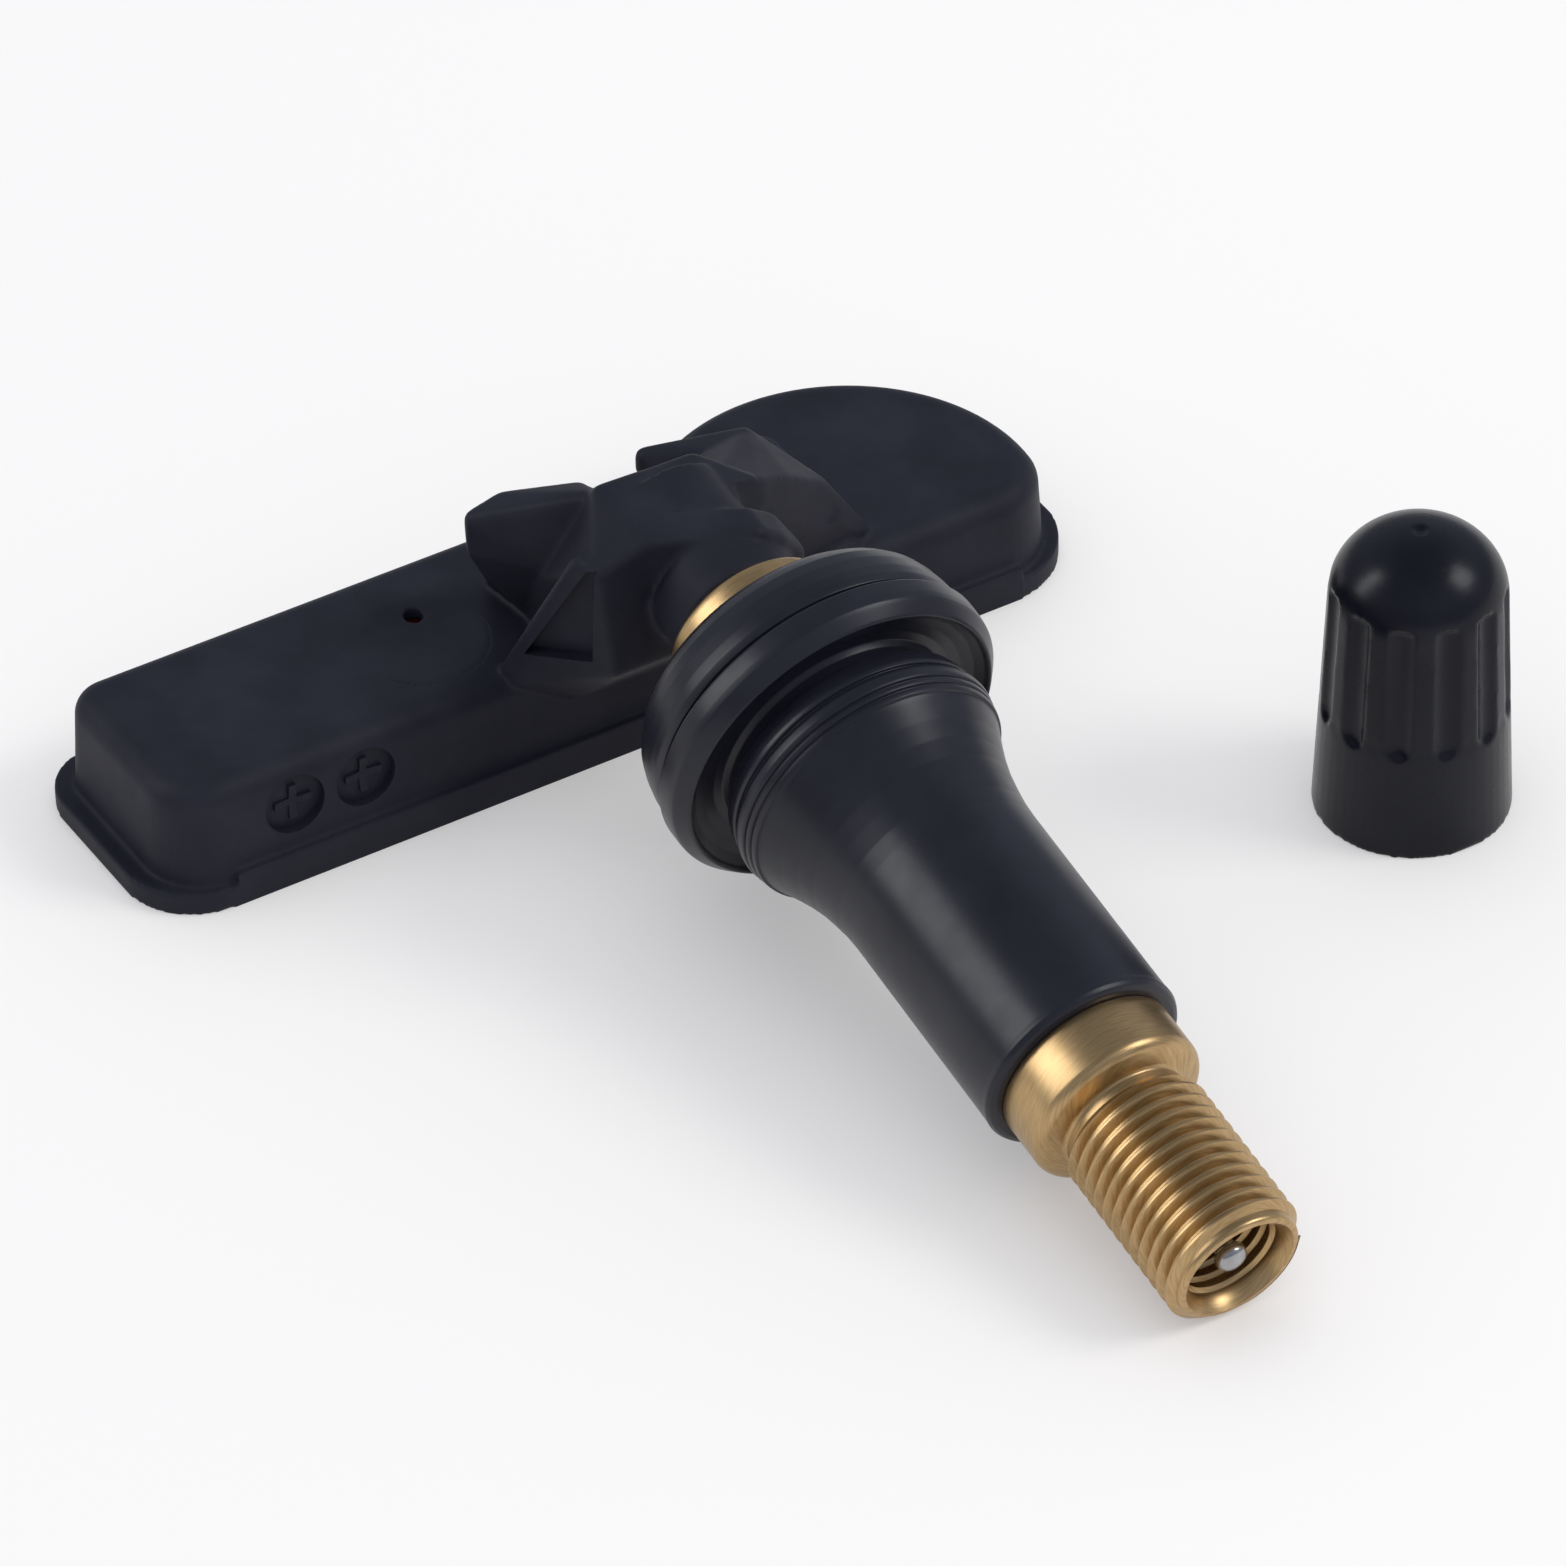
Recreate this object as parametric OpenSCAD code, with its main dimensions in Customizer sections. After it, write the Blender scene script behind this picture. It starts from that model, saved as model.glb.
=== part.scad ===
// Snap-in tyre pressure sensor with its valve stem, and the valve cap standing beside it.
// X runs along the sensor case, the stem points towards -Y and slopes down, +Z is up.
// The case rests on the plane z = 0, and so does the crest of the stem's thread.

/* [Case] */
// Length of the case wall from its square end to the centre of the round end
arm_l = 42.8; // [38:0.1:60]
// Distance from the case's square end to the stem's centre line
stem_x = 28.6; // [25:0.1:29]
// Depth of the narrow part of the case over its walls
arm_d = 12.6; // [11.2:0.1:14]
// Height of the narrow part of the case
arm_h = 7.2; // [6.8:0.1:9]
// Height of the round part of the case
drum_h = 6.4; // [6.2:0.1:8]
// Radius of the round part over its wall
drum_r = 11.1; // [10.5:0.1:13]
// Distance of the round part's centre behind the straight front wall
drum_c = 4.9; // [4:0.1:6]
// Radius of the upright corners at the front
corner_r = 3.4; // [2:0.1:4.5]
// Radius of the upright corners at the back
back_corner_r = 2.2; // [2:0.1:4.5]
// Radius of the rounding along the top edges
top_r = 1.4; // [0.4:0.1:2]
// Thickness of the moulded walls
wall_t = 1; // [0.8:0.05:1.2]
// How far the foot rim stands out from the walls at the ends and the back
rim_out = 1; // [0.8:0.1:2.4]
// How far the foot rim stands out along the front
rim_front = 0.35; // [0.1:0.05:0.8]
// Thickness of the foot rim
rim_t = 1.3; // [1.1:0.05:2]
// Height of the straight band along the front
band_h = 2; // [1.5:0.1:2.6]
// Distance of the origin behind the rim's front edge
origin_in = 7; // [5:0.5:9]
// Thickness of the base cover
cover_t = 1; // [0.7:0.05:1]

/* [Pressure port] */
// Radius of the shallow dish round the port
dish_r = 3.4; // [2:0.1:4]
// Depth of the dish
dish_deep = 0.45; // [0.2:0.05:0.6]
// Radius of the port hole
port_r = 0.5; // [0.3:0.05:0.7]
// Distance from the dish to the stem's centre line
port_x = 10.9; // [10:0.1:13]

/* [Bracket] */
// Height of the bracket's roof above the resting plane
roof_h = 18; // [17.8:0.1:20]
// Half width of the bracket's body
cradle_w = 6.3; // [5.9:0.1:7]
// How far the bracket reaches in front of the case
cradle_out = 5.4; // [5:0.1:6]
// Radius of the channel that the screwdriver passes through
channel_r = 2.2; // [2:0.05:2.4]
// Thickness of the slanted ribs
rib_t = 0.9; // [0.6:0.05:1.4]

/* [Valve stem] */
// Slope of the stem below the level
slope = 12; // [11:0.1:13]
// Distance along the stem from the brass head to the plane of the case front
head_gap = 8.55; // [8.2:0.05:8.9]
// Outside radius of the cap thread
thread_r = 3.85; // [3.7:0.01:3.9]
// Length of the thread and the neck in front of the collar
thread_l = 10.8; // [10:0.1:12]
// Radius of the brass collar
collar_r = 4.75; // [4.5:0.05:5]
// Length of the brass collar that shows
collar_l = 3.2; // [2:0.1:4]
// Radius of the bore that takes the valve core
core_bore_r = 2.6; // [2.55:0.01:2.65]
// Radius of the brass head behind the flange
head_r = 4.6; // [4.4:0.1:5]
// Length of the brass head that shows behind the flange
head_l = 2.6; // [2:0.1:3.2]
// Width of the square tenon that sits in the bracket
tenon_w = 4; // [3.6:0.1:4.2]

/* [Rubber] */
// Radius of the rubber at its outer end
sleeve_r = 5.45; // [5.3:0.05:6]
// Radius of the bulb that snaps through the rim hole
bulb_r = 7.4; // [7:0.1:8]
// Radius of the neck that seals in the rim hole
neck_r = 6.2; // [5.9:0.1:6.6]
// Radius of the rubber flange
flange_r = 9.4; // [8.8:0.1:9.8]
// Distance from the tip to the flange's front edge
flange_t = 36.9; // [36.3:0.1:37.5]
// Thickness of the flange
flange_l = 6.6; // [6:0.1:7.2]

/* [Valve core] */
// Radius of the pin
pin_r = 0.55; // [0.45:0.05:0.65]
// Radius of the head of the pin
pin_head_r = 0.85; // [0.75:0.05:0.95]
// How far the pin travels when it is pressed
pin_travel = 1.5; // [1:0.1:1.7]

/* [Valve cap] */
// Radius of the cap at its mouth
cap_r = 5.15; // [5.05:0.05:5.6]
// Radius of the cap at its shoulder
cap_top_r = 4.6; // [4.4:0.05:5]
// Height of the cap
cap_h = 17.2; // [15:0.1:20]
// Number of flutes round the cap
flutes = 12; // [6:1:16]
// Distance of the cap to the right of the stem
cap_x = 29.8; // [20:0.1:40]
// Distance of the cap in front of the case
cap_y = 24.5; // [15:0.1:40]

/* [Electronics] */
// Radius of the coin cell
cell_r = 6.25; // [5:0.05:6.3]
// Thickness of the coin cell
cell_t = 2.3; // [1.6:0.1:2.5]
// Thickness of the circuit board
board_t = 0.8; // [0.5:0.1:0.9]

/* [Hidden] */
$fn = 96;
// Overrun of a cut past the face that it opens
over = 0.5;
// Gap between pieces that are assembled without force
clear = 0.05;

housing_colour = [0.13, 0.13, 0.16];
cover_colour = [0.1, 0.1, 0.12];
rubber_colour = [0.09, 0.09, 0.11];
brass_colour = [0.8, 0.62, 0.32];
steel_colour = [0.75, 0.76, 0.78];
board_colour = [0.1, 0.35, 0.2];
seal_colour = [0.75, 0.35, 0.25];
chip_colour = [0.2, 0.18, 0.16];

// Places worked out from the case
front_y = rim_front - origin_in;
back_y = front_y + arm_d;
case_x0 = -stem_x;
drum_x = case_x0 + arm_l;
drum_y = front_y + drum_c;
drum_end = drum_x + drum_r;
drum_corner_share = 1.25;
drum_corner = corner_r * drum_corner_share;
side_draft = 0.3;
// Width of the base cover's seat under the walls
cover_seat = 0.8;
dish_share = 0.45;
dish_y = front_y + arm_d * dish_share;
// The port hole lies off the dish's centre by these shares of the dish's radius
hole_shares = [0.23, 0.64];
hole_x = -port_x + dish_r * hole_shares[0];
hole_y = dish_y + dish_r * hole_shares[1];

// Distance from the tip to the first full crest of the thread, which rests on z = 0
thread_start = 0.6;
flange_end = flange_t + flange_l;
head_t = flange_end + head_l;
stem_reach = head_t + head_gap;
tip_z = thread_r * cos(slope) - thread_start * sin(slope);
tip_y = -origin_in - stem_reach * cos(slope);

// Puts children on the stem's axis: +Z runs from the tip towards the case, -Y is up
module on_stem(t = 0) {
    translate([0, tip_y, tip_z]) rotate([slope - 90, 0, 0]) translate([0, 0, t]) children();
}

// Solid of revolution about the stem from [distance, radius] pairs
module turned(points) {
    rotate_extrude() polygon([for (p = points) [p[1], p[0]]]);
}

// Half section of a moulded edge that reaches out to r, with a rounded top edge and draft
module edge_section(r, h, rt, d) {
    intersection() {
        union() {
            polygon([[0, 0], [r, 0], [r - d, h - rt], [r - d - rt, h], [0, h]]);
            translate([r - d - rt, h - rt]) circle(rt);
        }
        square([r, h]);
    }
}

// Moulded slab with round upright corners rf and rb, rounded top edges rt and draft d
module moulded_slab(x0, x1, y0, y1, h, rf, rb, rt, d) {
    for (x = [x0 + rf, x1 - rf]) translate([x, y0 + rf, 0]) rotate_extrude() edge_section(rf, h, rt, d);
    for (x = [x0 + rb, x1 - rb]) translate([x, y1 - rb, 0]) rotate_extrude() edge_section(rb, h, rt, d);
    translate([x0 + rf, 0, 0]) rotate([90, 0, 90]) linear_extrude(x1 - x0 - 2 * rf)
        translate([y0 + rf, 0]) mirror([1, 0]) edge_section(rf, h, rt, d);
    translate([x0 + rb, 0, 0]) rotate([90, 0, 90]) linear_extrude(x1 - x0 - 2 * rb)
        translate([y1 - rb, 0]) edge_section(rb, h, rt, d);
    translate([0, y1 - rb, 0]) rotate([90, 0, 0]) linear_extrude(y1 - y0 - rf - rb) {
        translate([x1 - rf, 0]) edge_section(rf, h, rt, d);
        translate([x0 + rf, 0]) mirror([1, 0]) edge_section(rf, h, rt, d);
        translate([x0 + rf, 0]) square([x1 - x0 - 2 * rf, h]);
    }
}

// The case's outer form drawn in by g, with the heights of its two parts
module case_form(g, h_arm, h_drum, rt, d) {
    moulded_slab(case_x0 + g, drum_x, front_y + g, back_y - g, h_arm, corner_r - g, back_corner_r - g, rt, d);
    intersection() {
        translate([drum_x, drum_y, 0]) rotate_extrude($fn = 180) edge_section(drum_r - g, h_drum, rt, d);
        moulded_slab(drum_x - drum_r, drum_end - g, front_y + g, drum_y + drum_r + drum_corner,
            h_drum, drum_corner - g, drum_corner - g, rt, d);
    }
}

// Plan of the case drawn in by side at the ends and the back, and by front along the front
module plan(side, front) {
    module rounded(x0, x1, y0, y1, rf, rb) {
        translate([x0, y0 + rf]) square([x1 - x0, y1 - y0 - rf - rb]);
        translate([x0 + rf, y0]) square([x1 - x0 - 2 * rf, rf]);
        translate([x0 + rb, y1 - rb]) square([x1 - x0 - 2 * rb, rb]);
        for (x = [x0 + rf, x1 - rf]) translate([x, y0 + rf]) circle(rf);
        for (x = [x0 + rb, x1 - rb]) translate([x, y1 - rb]) circle(rb);
    }
    mean = (side + front) / 2;
    rounded(case_x0 + side, drum_x, front_y + front, back_y - side, corner_r - mean, back_corner_r - side);
    intersection() {
        translate([drum_x, drum_y]) circle(drum_r - side, $fn = 180);
        rounded(drum_x - drum_r, drum_end - side, front_y + front, drum_y + 2 * drum_r,
            drum_corner - mean, drum_corner - mean);
    }
}

// Places along the stem's axis, from its tip, where the bracket takes the stem's tenon
cradle_in = 5.95;
cradle_t = stem_reach - cradle_in;
boss_gap = 0.35;
boss_t = head_t + boss_gap;
socket_l = 0.6;
tenon_t = cradle_t + socket_l;
tenon_l = 2.7;
tenon_end = tenon_t + tenon_l;
seat_wall = 1;
screw_seat_t = tenon_end + seat_wall;
screw_r = 1.1;
screw_head_r = 1.9;
screw_head_l = 1.4;

// Corners of the bracket's blocks. A share of 1 stands for the half width, the reach in
// front of the case and the rise of the roof above the case.
soft_r = 0.5;
function bracket_at(p) = [p[0] * cradle_w, front_y + p[1] * cradle_out, arm_h + p[2] * (roof_h - arm_h)];
body_shares = [
    [-0.97, -0.88, 0.83], [-0.57, -0.94, 0.93], [-0.35, -0.75, 0.94], [-0.54, -0.05, 0.93],
    [0.32, -0.05, 0.91], [0.7, -0.36, 0.79], [-0.87, -0.88, 0.25], [0.79, -0.88, 0.25],
    [-0.79, 0.05, -0.21], [0.79, 0.05, -0.21], [0.73, -0.97, 0.54], [-0.75, 1.53, -0.04],
    [0.75, 1.53, -0.04]];
visor_shares = [
    [-0.56, -0.95, 0.93], [-0.32, -0.75, 0.94], [0.27, -1.31, 0.91], [0.29, -1.05, 0.92],
    [0.46, -1.29, 0.82], [0.51, -1.03, 0.83], [0.67, -1.21, 0.67], [0.68, -1.03, 0.67],
    [-0.57, -0.9, 0.35], [0.68, -1.06, 0.35]];
wing_shares = [
    [-0.98, -0.88, 0.83], [-0.87, -0.88, 0.25], [-1.29, 0.1, -0.03], [-1.08, -0.71, 0.83],
    [-0.71, -0.6, 0.81], [-0.71, 0.12, -0.03], [-0.79, 0.05, -0.21]];
rib_shares = [
    [-1.33, 0.18, 0.01], [-1.1, -0.71, 0.86], [-0.87, -0.66, 0.78], [-0.89, 0.08, -0.02]];
left_lug_shares = [
    [-1.27, 0.9, 0.65], [-1.25, 0.92, 0.46], [-0.83, 0.71, 0.66], [-0.67, 0.23, 0.76],
    [-1.0, 0.88, 0.7], [-0.52, 0.42, 0.79], [-0.56, 0.05, 0.87], [-0.78, 1.47, -0.04], [-0.7, 0.75, -0.04], [-0.68, 0.16, 0.44]];
right_lug_shares = [
    [0.48, -0.25, 0.83], [0.73, -0.34, 0.77], [1.11, -0.27, 0.63], [1.19, 0.68, 0.59],
    [1.22, 0.75, 0.59], [0.63, 0.45, 0.65], [1.59, 0.14, 0.41], [2.11, 0.38, -0.06],
    [1.75, 0.68, -0.09], [0.84, 1.42, -0.04], [0.73, 0.16, -0.03]];
finger_shares = [
    [0.38, 0.99, 0.53], [0.38, 0.99, 0.6], [1.17, 0.77, 0.53], [1.21, 0.75, 0.6],
    [0.41, 0.84, 0.56], [1.05, 0.38, 0.63]];
valley_shares = [[-0.32, -0.73], [0.32, -0.47], [0.83, -0.36], [1.68, 0.08], [2.54, 0.42], [2.54, -1.73], [0.32, -1.73]];

// A smooth block round a list of places: hull of small balls
module skin(places, r) {
    hull() for (p = places) translate(bracket_at(p)) sphere(r, $fn = 16);
}

// Blocks of the bracket with the valley in front of its right side, and the sleeve
// round the stem's tenon
valley_z = 9.5;
sleeve_wall = 0.5;
boss_r = 3.7;
module bracket_body() {
    difference() {
        union() {
            skin(body_shares, soft_r);
            skin(right_lug_shares, soft_r);
            skin(wing_shares, soft_r);
        }
        translate([0, 0, valley_z]) linear_extrude(roof_h)
            polygon([for (p = valley_shares) [p[0] * cradle_w, front_y + p[1] * cradle_out]]);
    }
    skin(visor_shares, soft_r);
    skin(left_lug_shares, soft_r);
    skin(finger_shares, soft_r);
    skin(rib_shares, rib_t / 2);
    on_stem(cradle_t) cylinder(r = rear_neck_r + sleeve_wall, h = screw_seat_t - cradle_t + screw_head_l);
    on_stem(boss_t) cylinder(r = boss_r, h = cradle_t - boss_t + over);
}

// Socket of the stem, screw hole and the channel for the screwdriver, open at the top
module bracket_cuts() {
    on_stem(boss_t - over) cylinder(r = rear_neck_r + clear, h = tenon_t - boss_t + over + clear);
    on_stem(tenon_t) translate([-tenon_w / 2 - clear, -tenon_w / 2 - clear, 0])
        cube([tenon_w + 2 * clear, tenon_w + 2 * clear, tenon_end - tenon_t + clear]);
    on_stem(tenon_end) cylinder(r = screw_r + clear, h = screw_seat_t - tenon_end + over);
    on_stem(screw_seat_t) {
        cylinder(r = channel_r, h = arm_d + over);
        translate([-channel_r, -arm_h, screw_head_l * 2]) cube([2 * channel_r, arm_h, arm_d]);
    }
}

// Two round hollows in the front wall
hollow_shares = [0.16, 0.264];
hollow_z = 4.4;
hollow_r = 1.7;
hollow_deep = 0.6;
module front_hollows() {
    ball = (hollow_r * hollow_r + hollow_deep * hollow_deep) / (2 * hollow_deep);
    for (p = hollow_shares) translate([case_x0 + arm_l * p, front_y + hollow_deep - ball, hollow_z])
        sphere(ball, $fn = 48);
}

// Shallow dish with its floor at z = 0, cut as a solid of revolution
dish_steps = 12;
module dish() {
    rotate_extrude() polygon(concat([[0, 0]],
        [for (i = [1:dish_steps]) let (s = i / dish_steps) [dish_r * s, dish_deep * s * s]],
        [[dish_r, dish_deep + over], [0, dish_deep + over]]));
}

module housing() color(housing_colour) difference() {
    union() {
        case_form(0, arm_h, drum_h, top_r, side_draft);
        linear_extrude(rim_t) plan(-rim_out, -rim_front);
        translate([case_x0 + corner_r, -origin_in, 0])
            cube([arm_l + drum_r - 2 * corner_r, rim_front + wall_t, band_h]);
        difference() {
            bracket_body();
            bracket_cuts();
        }
    }
    translate([0, 0, -over])
        case_form(wall_t, arm_h - wall_t + over, drum_h - wall_t + over, top_r / 2, 0);
    translate([0, 0, -over]) linear_extrude(cover_t + over) plan(-cover_seat, wall_t / 2);
    translate([-port_x, dish_y, arm_h - dish_deep]) dish();
    translate([hole_x, hole_y, arm_h - wall_t - over])
        cylinder(r = port_r, h = wall_t + 2 * over, $fn = 24);
    front_hollows();
}

// Base cover with the posts that carry the board
post_r = 0.9;
post_h = 0.4;
board_z = cover_t + post_h;
board_top = board_z + board_t;
cell_gap = 0.5;
cell_x = drum_x;
cell_y = front_y + wall_t + cell_gap + cell_r;
post_shares = [[0.06, 0.2], [0.06, 0.8], [0.33, 0.8], [0.5, 0.25], [0.8, 0.85], [1, 0.25]];
module base_cover() color(cover_colour) {
    linear_extrude(cover_t) plan(-cover_seat + clear, wall_t / 2 + clear);
    for (p = post_shares) translate([case_x0 + wall_t + p[0] * arm_l, front_y + p[1] * arm_d, cover_t])
        cylinder(r = post_r, h = post_h);
}

board_gap = 0.2;
module circuit_board() color(board_colour)
    translate([0, 0, board_z]) linear_extrude(board_t) plan(wall_t + board_gap, wall_t + board_gap);

// Coin cell with its stepped rim
tab_t = 0.15;
tab_w = 3;
tab_apart = 0.6;
tab_foot = 2;
cell_z = board_top + tab_t;
can_step = 0.35;
module battery() color(steel_colour) translate([cell_x, cell_y, cell_z]) {
    cylinder(r = cell_r - can_step, h = can_step);
    translate([0, 0, can_step]) cylinder(r = cell_r, h = cell_t - can_step);
}

module battery_tab_bottom() color(steel_colour)
    translate([cell_x - cell_r - tab_foot, cell_y - tab_apart / 2 - tab_w, board_top])
        cube([cell_r + tab_foot, tab_w, tab_t]);

// Tab that runs over the cell's rim and down to the board
module battery_tab_top() color(steel_colour) {
    x0 = cell_x - cell_r - tab_foot;
    x1 = cell_x - cell_r - 2 * tab_t;
    z1 = cell_z + cell_t;
    translate([0, cell_y + tab_apart / 2 + tab_w, 0]) rotate([90, 0, 0]) linear_extrude(tab_w)
        polygon([[x0, board_top], [x1, board_top], [x1, z1], [cell_x, z1], [cell_x, z1 + tab_t],
            [x1 - tab_t, z1 + tab_t], [x1 - tab_t, board_top + tab_t], [x0, board_top + tab_t]]);
}

// Pressure sensor with its port collar, and the seal that joins it to the case
sensor_w = 4.6;
sensor_h = 2.2;
seal_r = 1.8;
seal_bore_r = 0.8;
module pressure_sensor() color(chip_colour) translate([hole_x, hole_y, board_top]) difference() {
    translate([-sensor_w / 2, -sensor_w / 2, 0]) cube([sensor_w, sensor_w, sensor_h]);
    translate([0, 0, sensor_h / 2]) cylinder(r = seal_bore_r, h = sensor_h);
}

module port_seal() color(seal_colour) translate([hole_x, hole_y, board_top + sensor_h]) difference() {
    height = arm_h - wall_t - board_top - sensor_h;
    cylinder(r = seal_r, h = height);
    translate([0, 0, -over]) cylinder(r = seal_bore_r, h = height + 2 * over);
}

// Stamped strap antenna that stands on two feet along the back of the board
strap_w = 1;
strap_t = 0.4;
strap_room = 1.2;
strap_rise = arm_h - wall_t - strap_room - strap_t - board_top;
strap_foot = 1.6;
part_gap = 0.4;
module antenna() color(brass_colour) {
    x0 = case_x0 + corner_r + wall_t;
    x1 = hole_x + sensor_w / 2 + part_gap + strap_foot;
    translate([0, back_y - wall_t - board_gap, board_top]) rotate([90, 0, 0]) linear_extrude(strap_w) {
        translate([x0, strap_rise]) square([x1 - x0, strap_t]);
        for (x = [x0, x1 - strap_t]) translate([x, 0]) square([strap_t, strap_rise + strap_t]);
        translate([x0, 0]) square([strap_foot, strap_t]);
        translate([x1 - strap_foot, 0]) square([strap_foot, strap_t]);
    }
}

// Ferrite coil that listens for the wake-up signal
coil_l = 7.2;
coil_w = 2.6;
coil_end = 1;
coil_in = 0.75;
coil_core_share = 0.9;
coil_x = case_x0 + corner_r + wall_t + coil_in;
coil_y = front_y + wall_t + coil_w;
module lf_coil() color(chip_colour) translate([coil_x, coil_y, board_top]) {
    for (x = [0, coil_l - coil_end]) translate([x, -coil_w / 2, 0]) cube([coil_end, coil_w, coil_w]);
    translate([coil_end / 2, 0, coil_w / 2]) rotate([0, 90, 0]) cylinder(d = coil_w * coil_core_share,
        h = coil_l - coil_end);
}

// Crystal in its lidded can
crystal_l = 3.2;
crystal_w = 2.5;
crystal_h = 0.9;
lid_in = 0.25;
module crystal() color(steel_colour) translate([coil_x, coil_y + coil_w, board_top]) {
    cube([crystal_l, crystal_w, crystal_h / 2]);
    translate([lid_in, lid_in, crystal_h / 2]) cube([crystal_l - 2 * lid_in, crystal_w - 2 * lid_in, crystal_h / 2]);
}

// Small parts soldered to the board, one solid each
chip_l = 1.6;
chip_w = 0.8;
chip_h = 0.5;
module chip_rows(x, y, columns, rows) {
    for (i = [0:columns - 1], j = [0:rows - 1])
        translate([x + i * (chip_l + part_gap), y + j * (chip_w + part_gap), board_top])
            cube([chip_l, chip_w, chip_h]);
}

// One group beside the pressure sensor, one beside the crystal
module chip_parts() color(chip_colour) {
    chip_rows(hole_x + sensor_w / 2 + part_gap, front_y + wall_t + board_gap + part_gap, 2, 3);
    chip_rows(coil_x + crystal_l + part_gap, coil_y + coil_w / 2 + part_gap, 2, 2);
}

// Sizes of the valve core. Names in _t are distances along the stem from its tip.
pin_head_t = 0.35;
pin_head_l = 0.9;
pin_gap = 0.25;
core_t = pin_head_t + pin_head_l + pin_travel + pin_gap;
bridge_l = 1.8;
bridge_w = 1.7;
plug_l = 2.6;
guide_r = pin_r + clear;
barrel_r = 1.7;
barrel_wall = 0.4;
barrel_t = core_t + bridge_l + plug_l;
barrel_l = 9.6;
barrel_end = barrel_t + barrel_l;
shoulder = 0.8;
collar_gap = 0.3;
collar_t = barrel_t + shoulder + collar_gap;
pin_collar_r = 1.05;
pin_collar_l = 0.5;
washer_t = barrel_end + clear;
washer_l = 0.5;
cup_l = 1.3;
cup_r = 1.55;
cup_wall = 0.25;

// Brass stem: thread, neck, collar, shank in the rubber, head, neck and tenon
neck_l = 1.2;
relief_r = 3.35;
chamfer = 0.55;
shank_r = 4.2;
rear_neck_r = 2.9;
mouth_chamfer = 0.4;
seat_gap = 0.2;
seat_t = barrel_t + seat_gap;
seat_l = 1.6;
barrel_bore_r = 1.9;
core_gap = 1.65;
core_room = washer_t + cup_l + pin_travel + core_gap;
air_r = 1.1;
vent_in = 1.2;
vent_t = head_t + vent_in;
vent_r = 0.8;
rubber_t = thread_l + collar_l;
module valve_stem() color(brass_colour) on_stem() difference() {
    union() {
        turned([[0, 0], [0, thread_r - chamfer], [chamfer, thread_r], [thread_l - neck_l, thread_r],
            [thread_l - neck_l + chamfer / 2, relief_r], [thread_l - chamfer, relief_r],
            [thread_l, collar_r - chamfer / 3], [thread_l + chamfer / 3, collar_r],
            [rubber_t, collar_r], [rubber_t, shank_r], [flange_end, shank_r],
            [flange_end, head_r - chamfer / 2], [flange_end + chamfer / 2, head_r],
            [head_t - chamfer, head_r], [head_t, head_r - chamfer],
            [head_t, rear_neck_r], [tenon_t, rear_neck_r], [tenon_t, 0]]);
        translate([-tenon_w / 2, -tenon_w / 2, head_t]) cube([tenon_w, tenon_w, tenon_end - head_t]);
    }
    translate([0, 0, -over]) cylinder(r = core_bore_r, h = seat_t + over);
    turned([[-over, 0], [-over, core_bore_r + mouth_chamfer + over], [mouth_chamfer, core_bore_r], [mouth_chamfer, 0]]);
    turned([[seat_t, 0], [seat_t, core_bore_r], [seat_t + seat_l, barrel_bore_r], [seat_t + seat_l, 0]]);
    translate([0, 0, seat_t + seat_l / 2]) cylinder(r = barrel_bore_r, h = core_room - seat_t - seat_l / 2);
    cylinder(r = air_r, h = vent_t);
    translate([-head_r, 0, vent_t]) rotate([0, 90, 0]) cylinder(r = vent_r, h = 2 * head_r);
    translate([0, 0, tenon_t]) cylinder(r = screw_r, h = tenon_end - tenon_t + over);
}

// Rubber sleeve, bulb, sealing neck and stepped flange in one moulding
lip = 0.3;
rim_neck_l = 1.4;
face_deep = 0.9;
bulb_w = 2.9;
flare_l = 6.5;
flare_power = 1.7;
flare_steps = 10;
step_deep = 0.25;
step_w = 0.2;
back_steps = 6;
// Bulb profile with its two fine grooves, as shares of its width and of its height over the neck
bulb_shares = [[0, 0.63], [0.04, 0.63], [0.04, 0.77], [0.17, 0.93], [0.31, 1], [0.48, 0.91], [0.62, 0.76],
    [0.62, 0.63], [0.66, 0.63], [0.66, 0.71], [0.72, 0.6], [0.86, 0.33], [1, 0.13]];
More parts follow.
